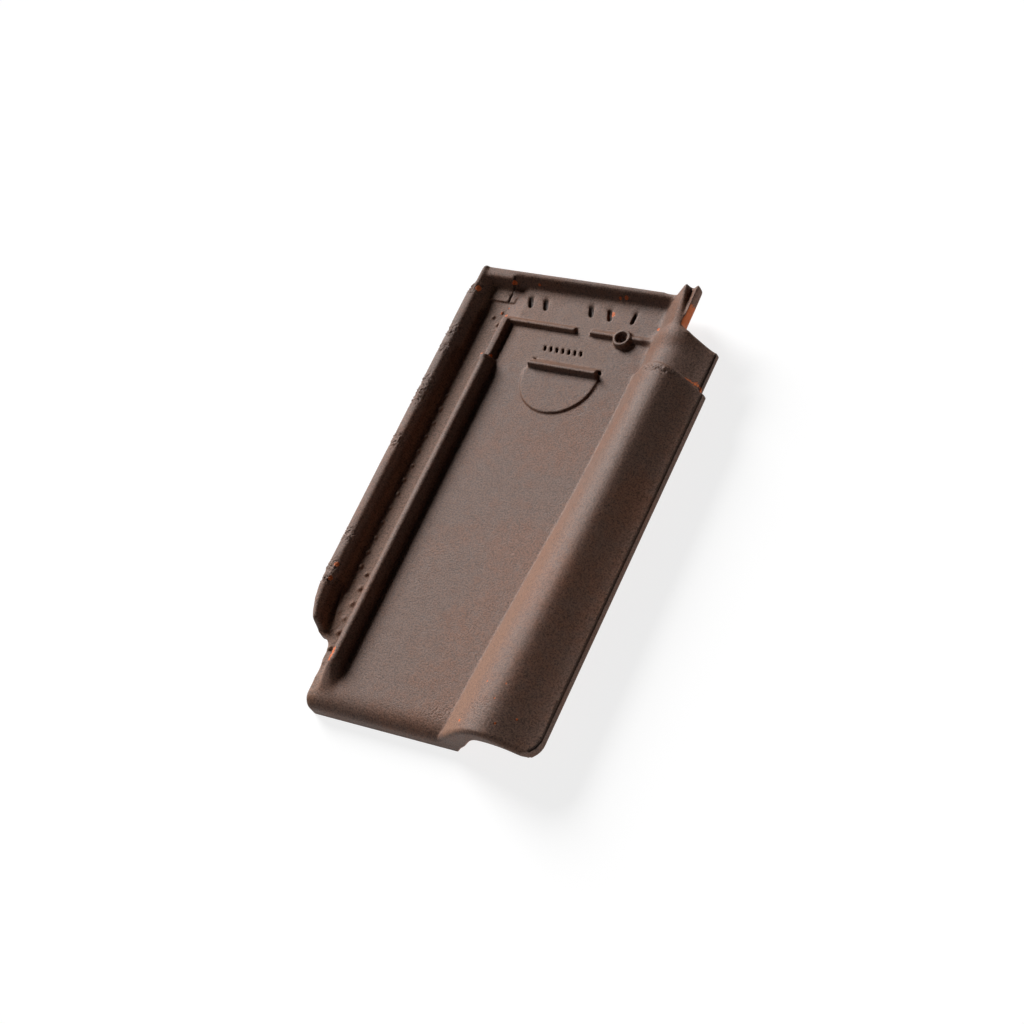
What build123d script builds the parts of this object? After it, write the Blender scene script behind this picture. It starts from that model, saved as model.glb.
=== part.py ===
"""Interlocking clay roof tile, pressed and fired in one piece.

The tile lies level on its nose and its two hanging nibs. X runs across it from the side-lock
channel on the left to the roll on the right, Y runs up the roof from tail to head, Z is up.
Sizes are in millimetres.
"""

import math
import os

from build123d import *

# The whole tile
width = 244.5
length = 397
overrun = 5

# Pan, the flat water course, and the nose that turns down along the tail
pan_thickness = 11
nose_drop = 9
nose_depth = 12
nose_round = 17
nose_face = 9
nose_end_slope = 7

# Side lock on the left: outer rim, channel and inner rib
rim_width = 7.6
rim_height = 10.6
rim_flank = 8.5
channel_step = 2
channel_floor_end = 25
channel_shelf_height = 1.3
rib_from_left = 40.4
rib_crest = 5
rib_height = 10
rib_left_run = 4
rib_right_run = 6
rib_to_head = 80
rib_slope_start = 34
rib_slope_end = 6
crest_round = 2.6
rim_end_run = 16

# Plan outline: notched corners and rounded corners
notch_depth = 27.7
notch_start = 103
notch_corner = 57.5
notch_round = 14
tail_left_round = 5.5
tail_right_round = 15
head_left_round = 4.5
head_inset = 3.7
head_inset_start = 27
head_inset_end = 17
cut_right_to_head = 47.7
cut_left_to_head = 34.1

# Roll: base line and crown, both measured from the right edge, from tail to step
roll_low_to_tail = 99
roll_mid_to_tail = 218
roll_base_tail = 86.3
roll_base_low = 80.8
roll_base_mid = 71.8
roll_base_step = 69.3
roll_crown_tail = 43
roll_crown_low = 39
roll_crown_mid = 34.5
roll_crown_step = 33
roll_height = 26.5
roll_wall = 12
roll_toe_wall = 13.5
roll_toe_depth = 9
roll_tail_round = 4
edge_height = 8
edge_face = 7.3
edge_lip = 6.5
flank_rise = 0.85
edge_rise = -0.3

# Step where the tile above laps over the roll
step_left_to_head = 75
step_crown_to_head = 70.5
step_right_to_head = 82.5
step_round = 4.5
step_overlap = 16
step_wall = 9

# Lowered head end of the roll and the collar around it
lap_base = 65.3
lap_crown = 37.8
lap_height = 19
lap_edge_inset = 4.3
lap_edge_height = 7
lap_edge_face = 5.5
lap_lip = 5
collar_to_head = 42
collar_foot_to_head = 56
collar_sink = 0.8
collar_rise = 3
collar_base = 67

# Forked tongue at the head end of the roll
tongue_right = 31
tongue_right_start = 35.8
tongue_start_to_head = 39
tongue_crest = 43.3
tongue_height = 28.5
tongue_start_height = 20.5
tongue_toe = 64
tongue_side = 7
tongue_round = 3.2
fork_depth = 7.5
fork_bottom = 41
fork_start_bottom = 36.5
fork_left_run = 2.5
fork_right_run = 9.5
fork_length = 30
fork_over = 2

# Head rim, higher than the pan, wider beside the channel
head_rim_height = 9
head_rim_top = 4.5
head_rim_flank = 4.5
head_rim_wide_top = 8.5
head_rim_wide_end = 36.5
head_rim_round = 1.5

# Low water bars across the head, steep towards the tail
bar_to_head = 44.5
bar_top = 2.5
bar_steep_run = 0.7
bar_gentle_run = 3
bar_height = 3.5
bar_round = 0.8
left_bar_end = 108
right_bar_start = 122
leg_top = 5.5
leg_height = 5
leg_run = 1.5

# Nail hole in its boss
boss_from_right = 91.8
boss_to_head = 43.9
boss_radius = 8.2
boss_height = 5
boss_taper = 8
boss_round = 1
mouth_radius = 5
mouth_depth = 3
nail_radius = 2.75

# Stacking mark: a raised half-round field with a ledge along its head side
field_from_left = 113.7
field_to_head = 84.6
field_radius = 34
field_height = 1.5
ledge_length = 63
ledge_offset = 2.2
ledge_steep_run = 2
ledge_top = 2
ledge_gentle_run = 6
ledge_height = 6

# Hanging nibs under the head
nib_length = 30
nib_depth = 14
nib_to_head = 24
nib_left = 60
nib_right = 148
nib_taper = 5
nib_round = 1.5

# Planes and edges worked out from the sizes above
left = -width / 2
right = width / 2
tail = -length / 2
head = length / 2
pan_under = nose_drop
pan_top = pan_under + pan_thickness
channel_floor = pan_top - channel_step
rim_inner = left + rim_width
floor_left = rim_inner + rim_flank
flank_foot = rim_inner + rim_flank * (rim_height + pan_thickness) / (rim_height + channel_step)
crest_left = left + rib_from_left
crest_right = crest_left + rib_crest
rib_left = crest_left - rib_left_run
pan_left = crest_right + rib_right_run
slab_right = right - lap_crown
edge_low = pan_top + edge_height - edge_face
lap_edge_low = pan_top + lap_edge_height - lap_edge_face
lap_start = head - step_crown_to_head - step_overlap
lap_end = head - cut_left_to_head
hollow_end = head - step_crown_to_head - step_wall
field_x = left + field_from_left
field_y = head - field_to_head
boss_x = right - boss_from_right
boss_y = head - boss_to_head
bend_in = notch_depth - notch_round
bend_run = notch_start - notch_corner
bend_radius = (bend_in**2 + bend_run**2) / (2 * bend_in)
bend_turn = math.degrees(math.asin(bend_run / bend_radius))
roll_stations = (
    (tail, roll_base_tail, roll_crown_tail),
    (tail + roll_low_to_tail, roll_base_low, roll_crown_low),
    (tail + roll_mid_to_tail, roll_base_mid, roll_crown_mid),
    (head - step_crown_to_head + overrun, roll_base_step, roll_crown_step),
)
hollow_stations = (
    (tail - overrun, roll_base_tail, roll_crown_tail),
    (tail + roll_low_to_tail, roll_base_low, roll_crown_low),
    (tail + roll_mid_to_tail, roll_base_mid, roll_crown_mid),
    (hollow_end, roll_base_step, roll_crown_step),
)


def station(y):
    """Upright plane across the tile at a place along its length."""
    return Plane((0, y, 0), x_dir=(1, 0, 0), z_dir=(0, -1, 0))


def roll_face(y, base, crown, height, edge, edge_top, face):
    """Filled outline of the roll, from its toe in the pan over the crown to the right edge."""
    toe = (base - roll_toe_depth / flank_rise, pan_top - roll_toe_depth)
    low = pan_top + edge_top - face
    with BuildSketch(station(y)) as section:
        with BuildLine():
            skin = Spline(
                toe,
                (crown, pan_top + height),
                (edge, pan_top + edge_top),
                tangents=((1, flank_rise), (1, 0), (1, edge_rise)),
            )
            Polyline(skin @ 1, (edge, low), (crown, low), (crown, toe[1]), toe)
        make_face()
    return section.sketch.face()


def hollow_face(y, base, crown, height, edge, low):
    """Outline of the hollow under the roll, open downwards."""
    toe = (base + roll_toe_wall, pan_under)
    with BuildSketch(station(y)) as section:
        with BuildLine():
            Spline(
                toe,
                (crown, pan_top + height - roll_wall),
                (edge, low),
                tangents=((1, flank_rise), (1, 0), (1, -flank_rise)),
            )
            Polyline((edge, low), (edge, -overrun), (toe[0], -overrun), toe)
        make_face()
    return section.sketch.face()


def bar_face(x, near, runs, height, top_round):
    """Section of a bar across the tile: steep run, flat top and gentle run, from tail to head."""
    steep, top, gentle = runs
    with BuildSketch(Plane.YZ.offset(x)) as section:
        with BuildLine():
            Polyline(
                (near, pan_under),
                (near, pan_top),
                (near + steep, pan_top + height),
                (near + steep + top, pan_top + height),
                (near + steep + top + gentle, pan_top),
                (near + steep + top + gentle, pan_under),
                close=True,
            )
        make_face()
        fillet(section.vertices().group_by(Axis.Y)[-1], top_round)
    return section.sketch.face()


# Flat body: rim, channel and pan in one section, with the nose under the tail
with BuildPart() as slab:
    with BuildSketch(station(head)):
        with BuildLine():
            Polyline(
                (left, pan_under),
                (left, pan_top + rim_height),
                (rim_inner, pan_top + rim_height),
                (floor_left, channel_floor),
                (rib_left, channel_floor),
                (pan_left, pan_top),
                (slab_right, pan_top),
                (slab_right, pan_under),
                close=True,
            )
        make_face()
    extrude(amount=length)
    rim_edges = slab.edges().filter_by(Axis.Y).group_by(Axis.Z)[-1]
    fillet(rim_edges, crest_round)
    # the straight rim ends where its bend begins
    with BuildSketch(station(tail + notch_start)):
        with BuildLine():
            Polyline(
                (left - overrun, -overrun),
                (left - overrun, pan_top + rim_height + overrun),
                (floor_left, pan_top + rim_height + overrun),
                (floor_left, channel_floor),
                (rim_inner, channel_floor),
                (rim_inner, -overrun),
                close=True,
            )
        make_face()
    extrude(amount=notch_start, mode=Mode.SUBTRACT)
    nose_left = left + notch_depth
    nose_right = right - roll_base_tail + roll_toe_wall
    with BuildSketch(station(tail + nose_depth)):
        with BuildLine():
            Polyline(
                (nose_left, 0),
                (nose_right - nose_end_slope, 0),
                (nose_right, pan_under),
                (nose_left, pan_under),
                close=True,
            )
        make_face()
    extrude(amount=nose_depth)
    # the pan rolls over into the nose
    with BuildSketch(Plane.YZ.offset(left)):
        with BuildLine():
            arc = EllipticalCenterArc(
                (tail + nose_round, nose_face), nose_round, pan_top - nose_face, start_angle=90
            )
            Polyline(
                arc @ 1,
                (tail - overrun, nose_face),
                (tail - overrun, pan_top + overrun),
                (tail + nose_round, pan_top + overrun),
                arc @ 0,
            )
        make_face()
    extrude(amount=slab_right - left, mode=Mode.SUBTRACT)

# Outer rim where it bends inwards along the notch and comes down to the channel floor
with BuildPart() as rim_bend:
    with BuildSketch(station(tail + notch_start)) as bend:
        with BuildLine():
            Polyline(
                (left, pan_under),
                (left, pan_top + rim_height),
                (rim_inner, pan_top + rim_height),
                (flank_foot, pan_under),
                close=True,
            )
        make_face()
        fillet(bend.vertices().group_by(Axis.Y)[-1], crest_round)
    bend_axis = Axis((left + bend_radius, tail + notch_start, 0), (0, 0, 1))
    revolve(axis=bend_axis, revolution_arc=bend_turn)
    with BuildSketch(Plane.YZ.offset(left)):
        with BuildLine():
            end_y = tail + notch_corner
            fall = EllipticalCenterArc(
                (end_y + rim_end_run, 0), rim_end_run, pan_top + rim_height, start_angle=90
            )
            Polyline(
                fall @ 1,
                (end_y - overrun, 0),
                (end_y - overrun, pan_top + rim_height + overrun),
                (end_y + rim_end_run, pan_top + rim_height + overrun),
                fall @ 0,
            )
        make_face()
    extrude(amount=rib_from_left, mode=Mode.SUBTRACT)

# Inner rib of the side lock, running out towards the tail
with BuildPart() as rib:
    with BuildSketch(station(head - rib_to_head)):
        with BuildLine():
            Polyline(
                (rib_left, pan_under),
                (rib_left, channel_floor),
                (crest_left, pan_top + rib_height),
                (crest_right, pan_top + rib_height),
                (pan_left, pan_top),
                (pan_left, pan_under),
                close=True,
            )
        make_face()
    extrude(amount=length - rib_to_head - rib_slope_end)
    fillet(rib.edges().filter_by(Axis.Y).group_by(Axis.Z)[-1], crest_round)
    with BuildSketch(Plane.YZ.offset(left)):
        with BuildLine():
            Polyline(
                (tail + rib_slope_start, pan_top + rib_height),
                (tail + rib_slope_end, channel_floor - channel_step),
                (tail, channel_floor - channel_step),
                (tail, pan_top + rib_height),
                close=True,
            )
        make_face()
    extrude(amount=width, mode=Mode.SUBTRACT)

# Main roll, wider towards the tail, stepped where the tile above laps it
with BuildPart() as roll:
    sections = [
        roll_face(y, right - base, right - crown, roll_height, right, edge_height, edge_face)
        for y, base, crown in roll_stations
    ]
    loft(sections)
    with BuildSketch():
        with BuildLine():
            step = ThreePointArc(
                (right - roll_base_tail, head - step_left_to_head),
                (right - roll_crown_step, head - step_crown_to_head),
                (right, head - step_right_to_head),
            )
            Polyline(step @ 1, (right, head), (right - roll_base_tail, head), step @ 0)
        make_face()
    extrude(amount=pan_top + roll_height, mode=Mode.SUBTRACT)
    crown_face = roll.faces().sort_by(Axis.Z)[-1]
    fillet(crown_face.edges().sort_by(Axis.Y)[-1], step_round)
    crown_face = roll.faces().sort_by(Axis.Z)[-1]
    fillet(crown_face.edges().sort_by(Axis.Y)[0], roll_tail_round)

# Lowered head end of the roll, with a collar that backs the water bars
with BuildPart() as lap:
    crown, edge = right - lap_crown, right - lap_edge_inset
    lap_end_face = roll_face(
        lap_end, right - lap_base, crown, lap_height, edge, lap_edge_height, lap_edge_face
    )
    extrude(lap_end_face, amount=lap_end - lap_start)
    collar_face, collar_top, collar_foot = [
        roll_face(y, right - base, crown, height, edge, lap_edge_height, lap_edge_face)
        for y, base, height in (
            (lap_end, collar_base, lap_height + collar_rise),
            (head - collar_to_head, collar_base, lap_height + collar_rise),
            (head - collar_foot_to_head, lap_base - collar_sink, lap_height - collar_sink),
        )
    ]
    extrude(collar_face, amount=collar_to_head - cut_left_to_head)
    loft([collar_top, collar_foot])

# Forked tongue that carries the roll on to the head edge
with BuildPart() as tongue:
    tongue_top = pan_top + tongue_height
    for y, height in ((head - tongue_start_to_head, tongue_start_height), (head, tongue_height)):
        with BuildSketch(station(y)) as section:
            with BuildLine():
                Polyline(
                    (right - tongue_toe - roll_toe_depth / flank_rise, pan_top - roll_toe_depth),
                    (right - tongue_crest, pan_top + height),
                    (right - tongue_right + overrun, pan_top + height),
                    (right - tongue_right + overrun, pan_top + height - tongue_side),
                    close=True,
                )
            make_face()
            fillet(section.vertices().group_by(Axis.Y)[-1].sort_by(Axis.X)[0], tongue_round)
    loft()
    for y, bottom in ((head - fork_length, fork_start_bottom), (head + overrun, fork_bottom)):
        with BuildSketch(station(y)):
            with BuildLine():
                Polyline(
                    (right - bottom, tongue_top - fork_depth),
                    (right - bottom + fork_right_run, tongue_top + fork_over),
                    (right - bottom - fork_left_run, tongue_top + fork_over),
                    close=True,
                )
            make_face()
    loft(mode=Mode.SUBTRACT)

# Hollow under the roll, open at both ends
with BuildPart() as hollow:
    sections = [
        hollow_face(y, right - base, right - crown, roll_height, right - edge_lip, edge_low)
        for y, base, crown in hollow_stations
    ]
    loft(sections)
    lap_hollow = hollow_face(
        head + overrun,
        right - lap_base,
        right - lap_crown,
        lap_height,
        right - lap_edge_inset - lap_lip,
        lap_edge_low,
    )
    extrude(lap_hollow, amount=head + overrun - hollow_end)

# Relief on the head of the pan: rim, water bars, channel shelf, half-round field and ledge
with BuildPart() as relief:
    rim_runs = (head_rim_flank, head_rim_top, 0)
    rim_near = head - head_rim_top - head_rim_flank
    rim_section = bar_face(left, rim_near, rim_runs, head_rim_height, head_rim_round)
    extrude(rim_section, amount=width - tongue_crest)
    wide_runs = (head_rim_flank, head_rim_wide_top, 0)
    wide_near = head - head_rim_wide_top - head_rim_flank
    wide_section = bar_face(left, wide_near, wide_runs, head_rim_height, head_rim_round)
    extrude(wide_section, amount=head_rim_wide_end)
    bar_runs = (bar_steep_run, bar_top, bar_gentle_run)
    bar_near = head - bar_to_head
    left_bar = bar_face(crest_left, bar_near, bar_runs, bar_height, bar_round)
    extrude(left_bar, amount=left_bar_end - rib_from_left)
    right_bar = bar_face(left + right_bar_start, bar_near, bar_runs, bar_height, bar_round)
    extrude(right_bar, amount=width - lap_crown - right_bar_start)
    with BuildSketch(station(head - bar_to_head + bar_top)) as leg:
        with BuildLine():
            Polyline(
                (rib_left, pan_under),
                (rib_left, channel_floor),
                (crest_left, pan_top + leg_height),
                (crest_left + leg_top, pan_top + leg_height),
                (crest_left + leg_top + leg_run, pan_top),
                (crest_left + leg_top + leg_run, pan_under),
                close=True,
            )
        make_face()
        fillet(leg.vertices().group_by(Axis.Y)[-1], bar_round)
    extrude(amount=rib_to_head - bar_to_head + bar_top + overrun)
    with BuildSketch(Plane((rim_inner, head - channel_floor_end, pan_under))):
        Rectangle(crest_left - rim_inner, channel_floor_end, align=(Align.MIN, Align.MIN))
    extrude(amount=channel_floor - pan_under + channel_shelf_height)
    with BuildSketch(Plane((field_x, field_y, pan_under))):
        Circle(field_radius)
        with Locations((0, ledge_offset)):
            Rectangle(
                2 * field_radius,
                field_radius,
                align=(Align.CENTER, Align.MIN),
                mode=Mode.SUBTRACT,
            )
    extrude(amount=pan_thickness + field_height)
    ledge_runs = (ledge_steep_run, ledge_top, ledge_gentle_run)
    ledge_near = field_y + ledge_offset
    ledge = bar_face(field_x - ledge_length / 2, ledge_near, ledge_runs, ledge_height, bar_round)
    extrude(ledge, amount=ledge_length)

# Boss around the nail hole
with BuildPart() as boss:
    with BuildSketch(Plane((boss_x, boss_y, pan_top))):
        Circle(boss_radius)
    extrude(amount=boss_height, taper=boss_taper)
    fillet(boss.edges().group_by(Axis.Z)[-1], boss_round)

# Nibs that hang the tile on its batten
with BuildPart() as nibs:
    for place in (nib_left, nib_right):
        with BuildSketch(Plane((left + place, head - nib_to_head, pan_under), z_dir=(0, 0, -1))):
            Rectangle(nib_length, nib_depth, align=(Align.CENTER, Align.MAX))
        extrude(amount=nose_drop, taper=nib_taper)
    fillet(nibs.edges().filter_by(Axis.Z, reverse=True).group_by(Axis.Z)[0], nib_round)

# Plan outline of the tile, with its two notched corners
with BuildPart() as outline:
    with BuildSketch() as plan:
        with BuildLine():
            side = Polyline(
                (right - tongue_right, head),
                (left + head_inset, head),
                (left + head_inset, head - head_inset_end),
                (left, head - head_inset_start),
                (left, tail + notch_start),
            )
            notch = (left + notch_depth - notch_round, tail + notch_corner)
            TangentArc(side @ 1, notch, tangent=(0, -1))
            turn = TangentArc(
                notch, (left + notch_depth, tail + notch_corner - notch_round), tangent=(1, 0)
            )
            Polyline(
                turn @ 1,
                (left + notch_depth, tail),
                (right, tail),
                (right, head - cut_right_to_head),
                (right - tongue_right_start, head - cut_left_to_head),
                side @ 0,
            )
        make_face()
        fillet(plan.vertices().group_by(Axis.Y)[0].sort_by(Axis.X)[0], tail_left_round)
        fillet(plan.vertices().group_by(Axis.Y)[0].sort_by(Axis.X)[-1], tail_right_round)
        fillet(plan.vertices().group_by(Axis.Y)[-1].sort_by(Axis.X)[0], head_left_round)
    extrude(amount=pan_top + tongue_height + overrun)

# The tile: everything joined, the hollow taken out and the plan trimmed
with BuildPart() as roof_tile:
    add(slab.part)
    add(rim_bend.part)
    add(rib.part)
    add(roll.part)
    add(lap.part)
    add(tongue.part)
    add(relief.part)
    add(boss.part)
    add(hollow.part, mode=Mode.SUBTRACT)
    add(nibs.part)
    add(outline.part, mode=Mode.INTERSECT)
    with BuildSketch(Plane((boss_x, boss_y, pan_top + boss_height))):
        Circle(mouth_radius)
    extrude(amount=-mouth_depth, mode=Mode.SUBTRACT)
    with BuildSketch(Plane((boss_x, boss_y, pan_top + boss_height))):
        Circle(nail_radius)
    extrude(amount=-boss_height - pan_thickness - overrun, mode=Mode.SUBTRACT)

roof_tile.part.label = "roof_tile"
os.makedirs("parts", exist_ok=True)
export_step(roof_tile.part, "parts/roof_tile.step")
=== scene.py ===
"""Looks of the clay roof tile: a pressed and fired tile with a brown slip, level on a pale floor.

The tile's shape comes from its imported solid. Here it gets what the press and the kiln leave on it:
pips in the side channel, pressed marks, a groove along the edge of the roll, pitted and worn edges,
a slightly wavy skin, and the brown slip with raw clay where it is chipped.
"""

import math

import bpy
import numpy as np
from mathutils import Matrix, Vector


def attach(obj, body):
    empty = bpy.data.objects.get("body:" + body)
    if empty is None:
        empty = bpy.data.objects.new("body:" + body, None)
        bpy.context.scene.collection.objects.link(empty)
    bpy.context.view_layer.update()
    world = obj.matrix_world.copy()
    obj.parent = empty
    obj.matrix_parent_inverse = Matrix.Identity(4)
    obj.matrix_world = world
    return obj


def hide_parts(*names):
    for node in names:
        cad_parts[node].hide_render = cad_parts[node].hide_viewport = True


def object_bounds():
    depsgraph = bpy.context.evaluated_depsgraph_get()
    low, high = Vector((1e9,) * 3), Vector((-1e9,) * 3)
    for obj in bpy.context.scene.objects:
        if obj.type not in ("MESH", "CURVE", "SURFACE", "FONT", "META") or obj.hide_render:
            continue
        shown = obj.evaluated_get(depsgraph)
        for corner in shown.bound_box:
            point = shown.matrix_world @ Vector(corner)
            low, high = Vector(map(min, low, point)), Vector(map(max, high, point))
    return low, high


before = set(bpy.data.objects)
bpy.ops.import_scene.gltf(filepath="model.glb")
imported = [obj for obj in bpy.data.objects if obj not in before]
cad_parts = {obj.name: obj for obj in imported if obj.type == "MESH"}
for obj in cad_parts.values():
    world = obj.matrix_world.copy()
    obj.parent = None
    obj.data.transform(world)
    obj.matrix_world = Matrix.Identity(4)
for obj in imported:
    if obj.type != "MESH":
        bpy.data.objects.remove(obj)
cad_low, cad_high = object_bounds()

bl_info = {
    "name": "Clay roof tile",
    "version": (1, 0, 0),
    "blender": (4, 5, 0),
    "location": "View3D > Sidebar > Roof tile",
    "description": "Presses, fires and slips one interlocking clay roof tile",
    "category": "Object",
}

MM = 0.001
NODE = "roof_tile"
PIECE = "clay_tile"
FLOOR = cad_low[2]
PAN_TOP = 20 * MM
CHANNEL_FLOOR = 18 * MM

# Places on the tile in millimetres, in the frame of the solid: rows of pips, (x, first y, last y)
PIP_ROWS = ((-101.1, -132.4, 81.0), (-92.6, -176.4, -84.4))
PIP_HEIGHT = 2.0
LOOSE_PIPS = ((-105.6, -116.6), (-94.7, 157.6), (-89.6, 163.0), (-87.5, 152.2), (-84.5, 176.8))

# Pressed strokes, a row of small ticks and two holes at the ledge,
# (x, y, length, width, lean in degrees)
STROKES = (
    (-66.8, 176.6, 13.0, 5.4, 24),
    (-52.4, 176.2, 13.0, 5.4, 24),
    (-9.6, 176.6, 13.0, 5.4, 24),
    (8.2, 175.4, 13.0, 5.4, 24),
    (30.4, 176.0, 13.0, 4.0, 0),
)
TICKS = tuple((-34.0 + 5.6 * step, 136.8, 5.4, 2.7, 20) for step in range(7))
LEDGE_HOLES = ((23.2, 122.6, 5.0, 3.4, 50), (-38.4, 126.2, 4.0, 1.6, 70))

# Where the clay slumped into soft corners: box corners, run-out around the box and smoothing passes
SOFT_PLACES = (
    ((-76, -186, 17), (-64, 112, 23), 4, 60),
    ((-111, -95, 16), (-105, 170, 22), 2, 60),
    ((-115, 182, 19), (60, 192, 27), 5, 160),
    ((52, 140, 20), (112, 166, 47), 6, 120),
    ((55, 166, 20), (96, 199, 50), 4, 110),
    ((-92, -200, 16), (-62, -168, 32), 8, 240),
    ((-124, -146, 18), (-95, -96, 32), 6, 60),
    ((-90, 105, 21), (50, 166, 30), 3, 12),
    ((-119, -95, 24), (-110, 172, 33), 3, 60),
    ((-81, -165, 24), (-72, 112, 33), 2, 40),
    ((-66, -186, 14), (30, -172, 24), 5, 200),
)

# Shoulders of the rib and the rim that swell towards the pan: box corners, run-out, share of the swell
FULL_PLACES = (
    ((-81, -165, 24), (-70, 112, 33), 3, 1.0),
    ((-119, -95, 24), (-106, 172, 33), 3, 0.7),
)

# Thin grooves: under the right edge of the roll and of its lowered head, and a seam in the head rim
GROOVES = (
    ((116.4, -194.2, 29.4), (119.6, -190.6, 28.5), (121.8, -183.5, 28.0), (121.8, 115.0, 28.0)),
    ((117.5, 118.0, 27.0), (117.5, 150.0, 27.0)),
    ((-86.2, 192.0, 28.0), (-87.0, 186.0, 21.0), (-87.6, 178.0, 19.3), (-86.5, 168.0, 19.3)),
)

# Bend of the outer rim along the notch: its middle in plan, its outer radius, the length it thins over,
# where it ends along the tile and the run of that end, and the line across that it keeps within
BEND_MIDDLE = (-39.9, -95.5)
BEND_RADIUS = 82.4
BEND_LENGTH = 38.0
BEND_END = -139.0
BEND_FALL = 6.0
BEND_INNER_X = -88.0
RIM_TOP = 30.6

# Width of the bent rim's crest and of its flank, each where the bend begins and where it is thinnest
BEND_CREST = (7.0, 4.5)
BEND_FLANK = (9.0, 2.5)

# Stretches of the rim with scabs, (middle y, half length)
RIM_SCABS = ((176, 9), (134, 10), (116, 7), (76, 22), (28, 11), (-60, 9), (-88, 9), (-101, 5))

# Line of the toe of the roll, and of the step where the tile above laps it, as (y, x) and (x, y)
ROLL_TOE = ((-198.5, 36.0), (-99.5, 41.5), (19.5, 50.5), (128.0, 53.0))
STEP_LINE = ((60.0, 123.5), (72.0, 123.0), (83.0, 121.5), (95.0, 121.5), (104.0, 123.0), (122.0, 119.0))

# Places where the slip is chipped off down to the clay, (x, y, z, radius)
CHIPS = (
    (-113.8, 176.5, 28.8, 2.6),
    (-86.5, 189.0, 24.3, 2.2),
    (-64.0, 191.2, 23.5, 1.4),
    (12.0, 190.0, 23.0, 1.6),
    (18.0, 190.6, 24.0, 2.0),
    (-85.0, 168.4, 18.6, 1.0),
    (-84.0, 161.6, 18.4, 1.2),
    (-89.6, 163.0, 18.6, 1.1),
    (10.4, 176.5, 19.4, 2.4),
    (55.8, 169.3, 20.0, 1.5),
    (-75.7, 119.6, 23.5, 2.0),
    (-80.8, 118.3, 29.4, 1.6),
    (119.0, 118.8, 26.0, 2.2),
    (113.5, 120.4, 31.0, 1.2),
    (-114.4, -86.8, 29.6, 2.0),
    (-114.0, -98.9, 29.2, 2.0),
    (-80.4, -154.0, 29.6, 1.7),
    (-80.4, -157.0, 29.6, 2.0),
    (-80.6, -160.0, 29.4, 2.0),
    (-80.8, -163.0, 29.0, 1.7),
    (68.6, -155.7, 44.0, 0.8),
    (82.2, -168.1, 46.4, 0.8),
    (85.6, -154.9, 45.9, 0.7),
    (90.3, -185.6, 44.0, 0.9),
    (101.5, -176.4, 37.8, 0.9),
    (57.4, -188.0, 38.5, 1.1),
)

# Boxes for the marks and colours, as low and high corner: what is pressed in, whose bottoms get painted
# shade,
#  the channel floor, the head of the pan, the nibs, the scabbed rim and the lumpy bend of it
PRESSED_BOX = ((-72, 115, 15), (40, 185, 18.6))
CHANNEL_BOX = ((-108, -200, 15), (-86, 190, 22))
HEAD_BOX = ((-70, 126, 15), (20, 186, 24))
NIB_BOX = ((-66, 157, -2), (60, 178, 8.5))
RIM_BOX = ((-124, -140, 26), (-112, 186, 32))
LUMP_BOX = ((-124, -146, 20), (-104, -92, 32))

# Wrinkled places near the tail, (x, y, half width, half length)
WRINKLES = ((72.0, -175.0, 14.0, 11.0), (25.0, -180.0, 17.0, 9.0))

# Noises of the slip: scale per metre, detail and roughness
SLIP_NOISES = {
    "patches": (16.0, 3.0, 0.55),
    "mottle": (140.0, 4.0, 0.6),
    "grain": (760.0, 2.0, 0.7),
    "fine": (1900.0, 1.0, 0.6),
    "ragged": (420.0, 3.0, 0.65),
}
SLIP_SHEEN = 0.26
SLIP_RELIEF = 0.6 * MM

# The floor: its grey as the tile sees it, and its grey and glow as the camera does
FLOOR_DULL = (0.6, 0.6, 0.6)
FLOOR_SHADED = (0.22, 0.22, 0.22)
FLOOR_GLOW = 0.82
WHITE = (1.0, 1.0, 1.0)
SENSOR_WIDTH = 36

# Lamps: name, direction from +X and height over the floor, spread, all in degrees, and strength
LAMPS = (
    ("key", 147, 28, 26, 5.4),
    ("tail", 240, 20, 30, 0.25),
    ("side", 350, 4, 10, 0.6),
)


class TileSkin(bpy.types.PropertyGroup):
    """Sizes of what the press and the kiln leave on the clay."""

    grid: bpy.props.FloatProperty(
        name="Skin grid",
        description="Size of the grid that the pressed skin is remeshed on",
        default=0.6 * MM,
        unit="LENGTH",
    )
    pip_radius: bpy.props.FloatProperty(
        name="Pip radius",
        description="Radius of the raised pips on the channel floor",
        default=1.8 * MM,
        unit="LENGTH",
    )
    pip_spacing: bpy.props.FloatProperty(
        name="Pip spacing",
        description="Distance between two pips of one row",
        default=13.35 * MM,
        unit="LENGTH",
    )
    mark_depth: bpy.props.FloatProperty(
        name="Mark depth",
        description="How deep the plain strokes and ticks are pressed into the pan",
        default=2.4 * MM,
        unit="LENGTH",
    )
    groove_radius: bpy.props.FloatProperty(
        name="Groove radius",
        description="Half the width of the thin grooves, which are as deep",
        default=1.1 * MM,
        unit="LENGTH",
    )
    swell: bpy.props.FloatProperty(
        name="Swell",
        description="How far the shoulders of the rim and the rib swell towards the pan",
        default=1.6 * MM,
        unit="LENGTH",
    )
    wave_height: bpy.props.FloatProperty(
        name="Wave height",
        description="Height of the slow waves in the fired skin",
        default=0.2 * MM,
        unit="LENGTH",
    )
    pit_depth: bpy.props.FloatProperty(
        name="Pit depth",
        description="Depth of the pits on the rim, along the step and at chips",
        default=1.5 * MM,
        unit="LENGTH",
    )
    wrinkle_height: bpy.props.FloatProperty(
        name="Wrinkle height",
        description="Height of the drying wrinkles near the tail",
        default=0.7 * MM,
        unit="LENGTH",
    )
    face_limit: bpy.props.IntProperty(
        name="Triangles",
        description="Triangles left in the finished tile",
        default=190000,
    )


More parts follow.
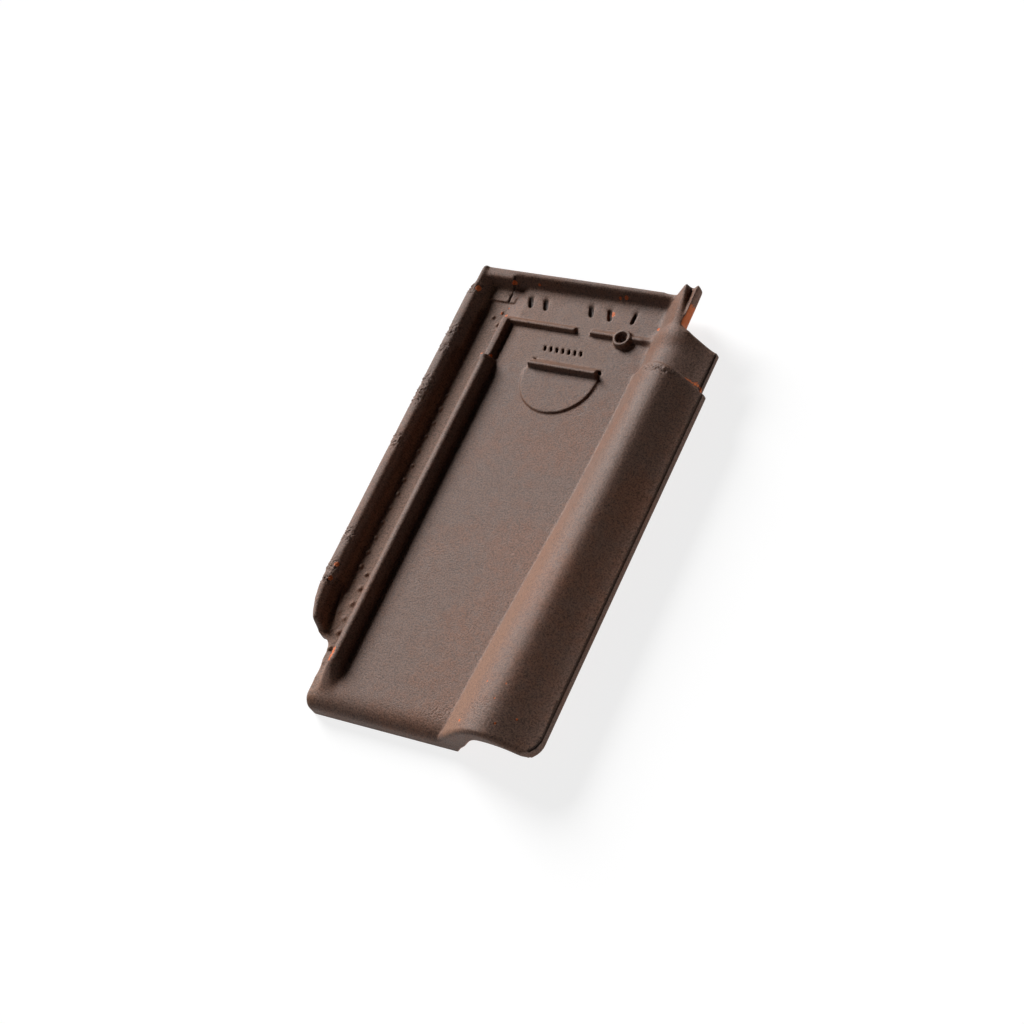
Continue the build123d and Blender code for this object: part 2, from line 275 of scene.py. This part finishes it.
class TileColours(bpy.types.PropertyGroup):
    """Colours of the slip and of the clay under it; the dark speckle colour is also painted as shade in
    creases, grooves and pressed marks.
    """

    slip_brown: bpy.props.FloatVectorProperty(
        name="Slip brown",
        description="Main colour of the fired slip",
        default=(0.178, 0.103, 0.075),
        subtype="COLOR",
    )
    slip_red: bpy.props.FloatVectorProperty(
        name="Slip red",
        description="Warmer slip where it lies thin",
        default=(0.215, 0.098, 0.058),
        subtype="COLOR",
    )
    slip_warm: bpy.props.FloatVectorProperty(
        name="Warm flank",
        description="Warm slip on the left flank of the roll, in the channel and at the head",
        default=(0.215, 0.113, 0.072),
        subtype="COLOR",
    )
    # Dark specks of the slip, and also the painted shade in creases, grooves, pits and the bottoms of
    # pressed marks
    speck_and_shade_dark: bpy.props.FloatVectorProperty(
        name="Dark speckle",
        description="Dark specks and pit bottoms in the slip",
        default=(0.040, 0.023, 0.016),
        subtype="COLOR",
    )
    pale_line: bpy.props.FloatVectorProperty(
        name="Pale line",
        description="Grey of worn edges and of the line along the toe of the roll",
        default=(0.270, 0.185, 0.148),
        subtype="COLOR",
    )
    raw_clay: bpy.props.FloatVectorProperty(
        name="Raw clay",
        description="Bare fired clay at chips and on the underside",
        default=(0.640, 0.150, 0.040),
        subtype="COLOR",
    )


class TileStage(bpy.types.PropertyGroup):
    """Where the camera and the lamps stand."""

    camera_place: bpy.props.FloatVectorProperty(
        name="Camera place",
        description="Where the camera stands",
        default=(1.11039, -0.74604, 1.58142),
        subtype="TRANSLATION",
    )
    camera_turn: bpy.props.FloatVectorProperty(
        name="Camera turn",
        description="How the camera is turned about X, Y and Z",
        default=(math.radians(34.1245), math.radians(23.0408), math.radians(26.2542)),
        subtype="EULER",
    )
    camera_lens: bpy.props.FloatProperty(
        name="Lens",
        description="Focal length on a 36 mm sensor",
        default=94.92,
        unit="CAMERA",
    )
    fill_strength: bpy.props.FloatProperty(
        name="Fill strength",
        description="Even light from all round",
        default=0.01,
    )
    floor_size: bpy.props.FloatProperty(
        name="Floor size",
        description="Side of the square floor",
        default=9.0,
        unit="LENGTH",
    )


def only(obj):
    """Selects one object alone and makes it active."""
    bpy.ops.object.select_all(action="DESELECT")
    obj.select_set(True)
    bpy.context.view_layer.objects.active = obj
    return obj


def apply(obj, kind, **settings):
    """Puts a modifier on an object and applies it."""
    only(obj)
    modifier = obj.modifiers.new(kind.title(), kind)
    for name, value in settings.items():
        setattr(modifier, name, value)
    bpy.ops.object.modifier_apply(modifier=modifier.name)


def join(objects):
    """Joins objects into the first of them."""
    bpy.ops.object.select_all(action="DESELECT")
    for obj in objects:
        obj.select_set(True)
    bpy.context.view_layer.objects.active = objects[0]
    bpy.ops.object.join()
    return objects[0]


def settle(obj):
    """Puts an object's place, turn and scale into its mesh."""
    only(obj)
    bpy.ops.object.transform_apply(location=True, rotation=True, scale=True)
    return obj


def tile():
    """The tile's own mesh object, once it has been made."""
    return bpy.data.objects[PIECE]


def smooth_band(values, start, full):
    """0 at start, 1 at full, with a soft run between them."""
    share = np.clip((values - start) / (full - start), 0, 1)
    return share * share * (3 - 2 * share)


def mesh_points(mesh):
    """Places and normals of a mesh's points, places in millimetres."""
    count = len(mesh.vertices)
    places, normals = np.empty(count * 3), np.empty(count * 3)
    mesh.vertices.foreach_get("co", places)
    mesh.vertex_normals.foreach_get("vector", normals)
    return places.reshape(-1, 3) / MM, normals.reshape(-1, 3)


def paint_group(obj, name, weights, steps=20):
    """Writes weights as a vertex group, in some steps from 0 to 1."""
    group = obj.vertex_groups.new(name=name)
    levels = np.round(np.clip(weights, 0, 1) * steps).astype(int)
    for level in range(1, steps + 1):
        chosen = np.flatnonzero(levels == level)
        if len(chosen):
            group.add(chosen.tolist(), level / steps, "REPLACE")
    return name


def paint_attribute(mesh, name, values):
    """Writes one number for each point, for the material to read."""
    layer = mesh.attributes.new(name, "FLOAT", "POINT")
    layer.data.foreach_set("value", np.ascontiguousarray(np.clip(values, 0, 1), dtype=np.float32))


def roll_toe(y):
    """Where the toe of the roll runs across, for places along the tile in millimetres."""
    stations = np.array(ROLL_TOE)
    return np.interp(y, stations[:, 0], stations[:, 1])


def step_line(x):
    """Where the step runs along the tile, for places across it in millimetres."""
    stations = np.array(STEP_LINE)
    return np.interp(x, stations[:, 0], stations[:, 1])


def region(places, low, high, run):
    """1 inside a box, falling to 0 over a run outside it."""
    outside = np.maximum(np.array(low) - places, places - np.array(high)).max(axis=1)
    return smooth_band(outside, run, 0.0)


def places_share(places, table, whole=1.0):
    """The largest share that a table of boxes gives each place, of the whole."""
    share = np.zeros(len(places))
    for low, high, run, part in table:
        share = np.maximum(share, part / whole * region(places, low, high, run))
    return share


def line_distance(places, line):
    """How far each place is from a line through some points."""
    nearest = np.full(len(places), np.inf)
    for start, end in zip(np.array(line[:-1]), np.array(line[1:])):
        along = end - start
        share = np.clip((places - start) @ along / (along @ along), 0, 1)
        nearest = np.minimum(nearest, np.linalg.norm(places - start - share[:, None] * along, axis=1))
    return nearest


def ellipse(places, x, y, half_x, half_y):
    """1 in the middle of an ellipse in plan, 0 outside it."""
    distance = np.hypot((places[:, 0] - x) / half_x, (places[:, 1] - y) / half_y)
    return smooth_band(distance, 1.0, 0.4)


def chipped(places):
    """1 in the middle of each chip, 0 away from them."""
    gone = np.zeros(len(places))
    for x, y, z, radius in CHIPS:
        distance = np.linalg.norm(places - (x, y, z), axis=1)
        gone = np.maximum(gone, smooth_band(distance, radius * 1.5, radius * 0.5))
    return gone


class TILE_OT_body(bpy.types.Operator):
    """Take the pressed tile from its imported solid"""

    bl_idname = "tile.body"
    bl_label = "Pressed body"

    def execute(self, context):
        bpy.ops.object.select_all(action="DESELECT")
        body = bpy.data.objects.new(PIECE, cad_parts[NODE].data.copy())
        context.collection.objects.link(body)
        body.data.name = PIECE
        body.data.materials.clear()
        only(body)
        bpy.ops.object.mode_set(mode="EDIT")
        bpy.ops.mesh.select_all(action="SELECT")
        bpy.ops.mesh.remove_doubles(threshold=1e-6)
        bpy.ops.object.mode_set(mode="OBJECT")
        return {"FINISHED"}


class TILE_OT_pips(bpy.types.Operator):
    """Raise the two rows of pips on the floor of the side channel"""

    bl_idname = "tile.pips"
    bl_label = "Channel pips"

    def execute(self, context):
        skin = context.scene.tile_skin
        rng = np.random.default_rng(7)
        places = list(LOOSE_PIPS)
        for x, first, last in PIP_ROWS:
            count = int((last - first) * MM / skin.pip_spacing + 0.5)
            places += [(x, y) for y in np.linspace(first, last, count + 1)]
        pips = []
        for x, y in places:
            size = skin.pip_radius * rng.uniform(0.75, 1.15)
            across, along = rng.uniform(-0.6, 0.6, 2)
            bpy.ops.mesh.primitive_ico_sphere_add(
                subdivisions=2,
                radius=size,
                location=((x + across) * MM, (y + along) * MM, CHANNEL_FLOOR),
                scale=(1, 1.1, 1),
            )
            pips.append(settle(context.object))
        join([tile()] + pips)
        return {"FINISHED"}


class TILE_OT_pressed_marks(bpy.types.Operator):
    """Press plain strokes and ticks into the head of the pan"""

    bl_idname = "tile.pressed_marks"
    bl_label = "Pressed marks"

    def stamp(self, context, x, y, length, width, lean):
        """One stamp: a round punch drawn out to its length, a little narrower at its foot."""
        skin = context.scene.tile_skin
        over = 4 * skin.mark_depth
        bpy.ops.mesh.primitive_cylinder_add(
            vertices=20,
            radius=width / 2,
            depth=skin.mark_depth + over,
            location=(0, 0, (over - skin.mark_depth) / 2),
        )
        stamp = settle(context.object)
        mesh = stamp.data
        bpy.ops.object.mode_set(mode="EDIT")
        bpy.ops.mesh.select_mode(type="VERT")
        bpy.ops.mesh.select_all(action="DESELECT")
        bpy.ops.object.mode_set(mode="OBJECT")
        for vertex in mesh.vertices:
            vertex.select = vertex.co.y > 0
        bpy.ops.object.mode_set(mode="EDIT")
        bpy.ops.transform.translate(value=(0, length - width, 0))
        bpy.ops.mesh.select_all(action="DESELECT")
        bpy.ops.object.mode_set(mode="OBJECT")
        for vertex in mesh.vertices:
            vertex.select = vertex.co.z < 0
        bpy.ops.object.mode_set(mode="EDIT")
        bpy.ops.transform.resize(
            value=(0.7, 0.92, 1), center_override=(0, (length - width) / 2, 0)
        )
        bpy.ops.object.mode_set(mode="OBJECT")
        turn = math.radians(lean)
        middle = (length - width) / 2
        stamp.rotation_euler.z = turn
        stamp.location = (x + middle * math.sin(turn), y - middle * math.cos(turn), PAN_TOP)
        return settle(stamp)

    def execute(self, context):
        stamps = [
            self.stamp(context, x * MM, y * MM, length * MM, width * MM, lean)
            for x, y, length, width, lean in STROKES + TICKS + LEDGE_HOLES
        ]
        press = join(stamps)
        apply(tile(), "BOOLEAN", object=press, operation="DIFFERENCE", solver="EXACT")
        only(press)
        bpy.ops.object.delete()
        return {"FINISHED"}


class TILE_OT_soft_corners(bpy.types.Operator):
    """Join everything into one skin and slump its corners, then draw the thin grooves"""

    bl_idname = "tile.soft_corners"
    bl_label = "Soft corners"

    def thin_bend(self, places):
        """How far each point of the bent rim sinks, so that the rim thins out towards its end."""
        x, y, z = places.T
        inwards = BEND_RADIUS - np.hypot(x - BEND_MIDDLE[0], y - BEND_MIDDLE[1])
        thinned = np.clip((BEND_MIDDLE[1] - y) / BEND_LENGTH, 0, 1)
        crest = np.interp(thinned, (0, 1), BEND_CREST)
        flank = smooth_band(inwards, crest, crest + np.interp(thinned, (0, 1), BEND_FLANK))
        floor = CHANNEL_FLOOR / MM
        standing = smooth_band(y, BEND_END, BEND_END + BEND_FALL)
        wanted = floor + (RIM_TOP - floor) * (1 - flank) * standing
        bent = (y < BEND_MIDDLE[1]) & (x < BEND_INNER_X) & (z > floor + PIP_HEIGHT)
        return np.where(bent, np.maximum(z - wanted, 0), 0)

    def move(self, body, group, distance, direction):
        """Moves the points of a group, each by its weight's share of a distance."""
        apply(
            body,
            "DISPLACE",
            direction=direction,
            strength=distance,
            mid_level=0.0,
            vertex_group=group,
        )

    def execute(self, context):
        skin = context.scene.tile_skin
        body = tile()
        apply(body, "REMESH", mode="VOXEL", voxel_size=skin.grid, use_smooth_shade=True)
        places, _ = mesh_points(body.data)
        drop = self.thin_bend(places)
        deepest = drop.max()
        bend = paint_group(body, "bend", drop / deepest, 100)
        self.move(body, bend, -deepest * MM, "Z")
        swell = paint_group(body, "swell", places_share(places, FULL_PLACES))
        self.move(body, swell, skin.swell, "X")
        apply(body, "SMOOTH", factor=0.5, iterations=6)

        places, _ = mesh_points(body.data)
        most = max(passes for _, _, _, passes in SOFT_PLACES)
        soft = paint_group(body, "soft", places_share(places, SOFT_PLACES, most))
        apply(body, "SMOOTH", factor=0.5, iterations=most, vertex_group=soft)

        places, _ = mesh_points(body.data)
        width = skin.groove_radius / MM
        drawn = np.zeros(len(places))
        for line in GROOVES:
            drawn = np.maximum(drawn, smooth_band(line_distance(places, line), width, 0.3 * width))
        grooves = paint_group(body, "grooves", drawn)
        self.move(body, grooves, -skin.groove_radius, "NORMAL")
        body.vertex_groups.clear()
        return {"FINISHED"}


class TILE_OT_kiln_marks(bpy.types.Operator):
    """Give the clay its scabs, pits, wrinkles and slow waves"""

    bl_idname = "tile.kiln_marks"
    bl_label = "Kiln marks"

    def grain(self, name, kind, strength, level, weights, **settings):
        """Raises or sinks the skin by a grain, where the weights say."""
        texture = bpy.data.textures.new(name, kind)
        for setting, value in settings.items():
            setattr(texture, setting, value)
        apply(
            tile(),
            "DISPLACE",
            texture=texture,
            texture_coords="LOCAL",
            strength=strength,
            mid_level=level,
            vertex_group=paint_group(tile(), name, weights),
        )

    def scabs(self, places):
        """Where the rim, the step and the chips are scabbed."""
        x, y, z = places.T
        runs = [smooth_band(np.abs(y - middle), half, 0.4 * half) for middle, half in RIM_SCABS]
        rim = region(places, *RIM_BOX, 2) * np.max(runs, axis=0)
        step = smooth_band(np.abs(y - step_line(x) + 0.5), 4.0, 1.5) * smooth_band(z, 36.0, 39.0)
        step = step * smooth_band(x, 66.0, 74.0) * smooth_band(x, 104.0, 98.0)
        return np.maximum(np.maximum(rim, step), chipped(places))

    def execute(self, context):
        skin = context.scene.tile_skin
        body = tile()
        places, normals = mesh_points(body.data)
        weather = smooth_band(normals[:, 2], -0.1, 0.3)
        self.grain(
            "scabs",
            "STUCCI",
            skin.pit_depth,
            0.62,
            self.scabs(places) * weather,
            noise_scale=3.2 * MM,
            turbulence=9.0,
            stucci_type="WALL_OUT",
        )
        lump = region(places, *LUMP_BOX, 2)
        self.grain("lumps", "CLOUDS", 0.8 * MM, 0.5, lump * weather, noise_scale=11 * MM, noise_depth=1)
        tail = np.max([ellipse(places, *spot) for spot in WRINKLES], axis=0)
        self.grain(
            "wrinkles",
            "STUCCI",
            skin.wrinkle_height,
            0.5,
            tail * weather,
            noise_scale=1.9 * MM,
            turbulence=14.0,
            stucci_type="WALL_IN",
        )
        self.grain(
            "waves", "CLOUDS", skin.wave_height, 0.5, weather, noise_scale=32 * MM, noise_depth=2
        )
        body.vertex_groups.clear()
        body.data.calc_loop_triangles()
        share = skin.face_limit / len(body.data.loop_triangles)
        apply(body, "DECIMATE", ratio=min(share, 1.0), use_collapse_triangulate=True)
        only(body)
        bpy.ops.object.shade_smooth()
        return {"FINISHED"}


class Wire:
    """A socket of a material, so that its maths can be written as plain sums."""

    def __init__(self, finish, socket):
        self.finish = finish
        self.socket = socket

    def maths(self, operation, first, second):
        return self.finish.node("Math", {"operation": operation}, {0: first, 1: second})

    def __add__(self, other):
        return self.maths("ADD", self, other)

    def __radd__(self, other):
        return self.maths("ADD", other, self)

    def __sub__(self, other):
        return self.maths("SUBTRACT", self, other)

    def __rsub__(self, other):
        return self.maths("SUBTRACT", other, self)

    def __mul__(self, other):
        return self.maths("MULTIPLY", self, other)

    def __rmul__(self, other):
        return self.maths("MULTIPLY", other, self)

    def larger(self, other):
        return self.maths("MAXIMUM", self, other)

    def between(self, start, full):
        """0 at start and 1 at full, with a soft run between them."""
        return self.finish.node(
            "MapRange",
            {"interpolation_type": "SMOOTHSTEP"},
            {"Value": self, "From Min": start, "From Max": full},
        )


class Finish:
    """A material that is put together node by node."""

    def __init__(self, name):
        self.material = bpy.data.materials.new(name)
        self.material.use_nodes = True
        self.tree = self.material.node_tree
        self.tree.nodes.clear()

    def node(self, kind, settings=None, sockets=None, out=0):
        """One node: its settings first, then the values or wires of its sockets."""
        made = self.tree.nodes.new("ShaderNode" + kind)
        for name, value in (settings or {}).items():
            setattr(made, name, value)
        for name, value in (sockets or {}).items():
            if isinstance(value, Wire):
                self.tree.links.new(value.socket, made.inputs[name])
            else:
                made.inputs[name].default_value = value
        return Wire(self, made.outputs[out]) if made.outputs else None

    def attribute(self, name):
        return self.node("Attribute", {"attribute_name": name}, out="Fac")

    def noise(self, place, scale, detail=2.0, roughness=0.5):
        return self.node(
            "TexNoise",
            {"noise_dimensions": "3D"},
            {"Vector": place, "Scale": scale, "Detail": detail, "Roughness": roughness},
        )

    def mix(self, share, first, second):
        """Colour between two colours, by a share."""
        return self.node(
            "Mix",
            {"data_type": "RGBA", "blend_type": "MIX"},
            {0: share, 6: first, 7: second},
            out=2,
        )

    def times(self, colour, level):
        """Colour made lighter or darker by a number."""
        return self.node("VectorMath", {"operation": "SCALE"}, {0: colour, "Scale": level})


def paint(colour):
    """A colour property as a socket value."""
    return (*colour, 1.0)


class TILE_OT_slip(bpy.types.Operator):
    """Coat the tile in its brown slip, with raw clay at chips and underneath"""

    bl_idname = "tile.slip"
    bl_label = "Brown slip"

    def wear_and_shade_turn(self, mesh, normals):
        """How strongly the skin turns over a corner at each point, smoothed over its neighbours: above
        0 on outer corners, for wear, and below 0 in creases, for painted shade.
        """
        places, _ = mesh_points(mesh)
        ends = np.empty(len(mesh.edges) * 2, dtype=np.int64)
        mesh.edges.foreach_get("vertices", ends)
        first, second = ends.reshape(-1, 2).T
        span = places[second] - places[first]
        span /= np.linalg.norm(span, axis=1)[:, None] + 1e-9
        turn = np.zeros(len(places))
        meets = np.zeros(len(places))
        np.add.at(turn, first, -(span * normals[first]).sum(1))
        np.add.at(turn, second, (span * normals[second]).sum(1))
        np.add.at(meets, first, 1)
        np.add.at(meets, second, 1)
        turn /= np.maximum(meets, 1)
        for _ in range(2):
            spread = turn * meets
            np.add.at(spread, first, turn[second])
            np.add.at(spread, second, turn[first])
            turn = spread / np.maximum(2 * meets, 1)
        return turn

    def paint_masks(self, mesh):
        """Writes where the slip is worn, warm, pale or gone, and where creases, grooves and the bottoms
        of pressed marks get painted shade.
        """
        places, normals = mesh_points(mesh)
        x, y, z = places.T
        turn = self.wear_and_shade_turn(mesh, normals)
        paint_attribute(mesh, "worn", smooth_band(turn, 0.02, 0.12))
        pressed = region(places, *PRESSED_BOX, 1)
        # Painted shade: creases, the bottoms of pressed marks and the grooves are darkened in the
        # colour, as if shadowed.
        painted_crease_shade = np.maximum(smooth_band(-turn, 0.05, 0.25), pressed)
        for line in GROOVES:
            painted_crease_shade = np.maximum(painted_crease_shade, smooth_band(line_distance(places, line), 1.5, 0.7))
        paint_attribute(mesh, "painted_crease_shade", painted_crease_shade)

        toe = x - roll_toe(y)
        before_step = smooth_band(y, 126.0, 120.0)
        on_roll = smooth_band(z, 20.5, 23.0) * before_step
        flank = smooth_band(toe, -1.0, 2.0) * smooth_band(toe, 34.0, 14.0) * on_roll
        towards_tail = 0.1 + 0.9 * smooth_band(y, 60.0, -150.0)
        warm = flank * towards_tail * smooth_band(normals[:, 2], 0.1, 0.4)
        channel = region(places, *CHANNEL_BOX, 2)
        head = 0.5 * region(places, *HEAD_BOX, 10)
        paint_attribute(mesh, "warm", np.maximum(np.maximum(warm, channel), head))

        line = smooth_band(np.abs(toe + 0.2), 1.6, 0.4) * smooth_band(z, 26.0, 22.5)
        paint_attribute(mesh, "pale", line * before_step * smooth_band(y, -192.0, -170.0))

        tongue = smooth_band(x, 84.0, 86.5) * smooth_band(normals[:, 0], 0.3, 0.7)
        tongue = tongue * smooth_band(y, 160.0, 168.0) * smooth_band(y, 190.0, 178.0)
        lip = smooth_band(np.abs(y - step_line(x) - 1.0), 2.2, 0.6) * smooth_band(x, 100.0, 108.0)
        lip = lip * smooth_band(z, 24.0, 26.0)
        bare = np.maximum(0.75 * tongue, 0.55 * lip)
        paint_attribute(mesh, "chip", np.maximum(chipped(places), bare))
        nibs = region(places, *NIB_BOX, 1.5)
        under = smooth_band(normals[:, 2], -0.1, -0.5)
        paint_attribute(mesh, "under", np.maximum(under, nibs))

    def slip(self, colours):
        """The material of the whole tile."""
        finish = Finish("brown_slip")
        place = finish.node("TexCoord", out="Object")
        patches, mottle, grain, fine, ragged = (
            finish.noise(place, *sizes) for sizes in SLIP_NOISES.values()
        )

        red = (patches * 0.7 + mottle * 0.3).between(0.42, 0.66)
        colour = finish.mix(red * 0.8, paint(colours.slip_brown), paint(colours.slip_red))
        warm = finish.attribute("warm") * (0.65 + mottle * 0.7)
        colour = finish.mix(warm, colour, paint(colours.slip_warm))
        worn = finish.attribute("worn") * ragged.between(0.3, 0.6)
        colour = finish.mix(worn * 0.7, colour, paint(colours.pale_line))
        pale = finish.attribute("pale") * ragged.between(0.25, 0.55)
        colour = finish.mix(pale * 0.3, colour, paint(colours.pale_line))
        specks = grain.between(0.60, 0.74) * 0.35
        # Painted shade: creases, grooves and pressed marks are mixed towards the dark colour, along
        # with the real specks
        painted_crease_shade = finish.attribute("painted_crease_shade") * 0.85
        colour = finish.mix(specks.larger(painted_crease_shade), colour, paint(colours.speck_and_shade_dark))
        along = finish.node("SeparateXYZ", sockets={0: place}, out="Y")
        shade = 1.0 - 0.15 * along.between(-60 * MM, 160 * MM)
        colour = finish.times(colour, shade * (grain * 2.8 + fine * 0.8 - 0.8))

        bare = finish.attribute("chip") + (ragged - 0.5) * 0.9
        bare = bare.between(0.42, 0.58)
        bottom = (finish.attribute("under") + (mottle - 0.5) * 0.6).between(0.45, 0.7)
        clay = finish.times(tuple(colours.raw_clay), 0.7 + mottle * 0.6)
        colour = finish.mix(bare.larger(bottom), colour, clay)

        rough = 0.44 + mottle * 0.14 + grain * 0.14
        relief = mottle * 0.2 + grain * 0.5 + fine * 0.3
        bump = finish.node(
            "Bump", sockets={"Strength": 1.0, "Distance": SLIP_RELIEF, "Height": relief}
        )
        shader = finish.node(
            "BsdfPrincipled",
            sockets={
                "Base Color": colour,
                "Roughness": rough,
                "Specular IOR Level": SLIP_SHEEN,
                "Normal": bump,
            },
        )
        finish.node("OutputMaterial", sockets={"Surface": shader})
        return finish.material

    def execute(self, context):
        body = tile()
        self.paint_masks(body.data)
        body.data.materials.append(self.slip(context.scene.tile_colours))
        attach(body, "root")
        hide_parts(NODE)
        return {"FINISHED"}


class TILE_OT_stage(bpy.types.Operator):
    """Set the pale floor, the soft light and the camera"""

    bl_idname = "tile.stage"
    bl_label = "Stage"

    def floor(self, stage):
        """A pale floor that shows white to the camera and keeps the tile's shadow."""
        bpy.ops.object.select_all(action="DESELECT")
        bpy.ops.mesh.primitive_plane_add(size=stage.floor_size, location=(0, 0, FLOOR))
        floor = bpy.context.object
        floor.name = "floor"
        finish = Finish("pale_floor")
        seen = finish.node("LightPath", out="Is Camera Ray")
        mirrored = finish.node("LightPath", out="Is Glossy Ray")
        dull = finish.node("BsdfDiffuse", sockets={"Color": paint(FLOOR_DULL)})
        shaded = finish.node("BsdfDiffuse", sockets={"Color": paint(FLOOR_SHADED)})
        glow = finish.node("Emission", sockets={"Color": paint(WHITE), "Strength": FLOOR_GLOW})
        white = finish.node("AddShader", sockets={0: shaded, 1: glow})
        mixed = finish.node("MixShader", sockets={0: seen.larger(mirrored), 1: dull, 2: white})
        finish.node("OutputMaterial", sockets={"Surface": mixed})
        floor.data.materials.append(finish.material)

    def lamps(self, stage):
        """Broad lamps, the strongest from the channel side, and a little even light."""
        for name, azimuth, elevation, spread, strength in LAMPS:
            around, up = math.radians(azimuth), math.radians(elevation)
            across, along = math.cos(around), math.sin(around)
            source = Vector((math.cos(up) * across, math.cos(up) * along, math.sin(up)))
            bpy.ops.object.light_add(
                type="SUN", location=source, rotation=source.to_track_quat("Z", "Y").to_euler()
            )
            lamp = bpy.context.object
            lamp.name = name
            lamp.data.energy = strength
            lamp.data.angle = math.radians(spread)
        world = bpy.data.worlds.new("studio")
        world.use_nodes = True
        bpy.context.scene.world = world
        glow = world.node_tree.nodes["Background"]
        glow.inputs["Color"].default_value = paint(WHITE)
        glow.inputs["Strength"].default_value = stage.fill_strength

    def camera(self, stage):
        """The camera, as far away and turned as the properties say."""
        bpy.ops.object.camera_add(location=stage.camera_place, rotation=stage.camera_turn)
        camera = bpy.context.object
        camera.data.sensor_width = SENSOR_WIDTH
        camera.data.lens = stage.camera_lens
        bpy.context.scene.camera = camera

    def execute(self, context):
        stage = context.scene.tile_stage
        self.floor(stage)
        self.lamps(stage)
        self.camera(stage)
        context.scene.view_settings.view_transform = "Standard"
        return {"FINISHED"}


class TILE_PT_panel(bpy.types.Panel):
    """Steps of the roof tile, in the order they are made"""

    bl_idname = "TILE_PT_panel"
    bl_label = "Roof tile"
    bl_space_type = "VIEW_3D"
    bl_region_type = "UI"
    bl_category = "Roof tile"

    def draw(self, context):
        for step in STEPS:
            self.layout.operator(step.bl_idname)
        for group in ("tile_skin", "tile_colours", "tile_stage"):
            box = self.layout.box()
            values = getattr(context.scene, group)
            for name in values.bl_rna.properties.keys():
                if name not in ("rna_type", "name"):
                    box.prop(values, name)


STEPS = (
    TILE_OT_body,
    TILE_OT_pressed_marks,
    TILE_OT_pips,
    TILE_OT_soft_corners,
    TILE_OT_kiln_marks,
    TILE_OT_slip,
    TILE_OT_stage,
)
GROUPS = {"tile_skin": TileSkin, "tile_colours": TileColours, "tile_stage": TileStage}


def register():
    for made in (*GROUPS.values(), *STEPS, TILE_PT_panel):
        bpy.utils.register_class(made)
    for name, group in GROUPS.items():
        setattr(bpy.types.Scene, name, bpy.props.PointerProperty(type=group))


def unregister():
    for name in GROUPS:
        delattr(bpy.types.Scene, name)
    for made in reversed((*GROUPS.values(), *STEPS, TILE_PT_panel)):
        bpy.utils.unregister_class(made)


def main():
    register()
    bpy.ops.tile.body()
    bpy.ops.tile.pressed_marks()
    bpy.ops.tile.pips()
    bpy.ops.tile.soft_corners()
    bpy.ops.tile.kiln_marks()
    bpy.ops.tile.slip()
    bpy.ops.tile.stage()


if __name__ == "__main__":
    main()
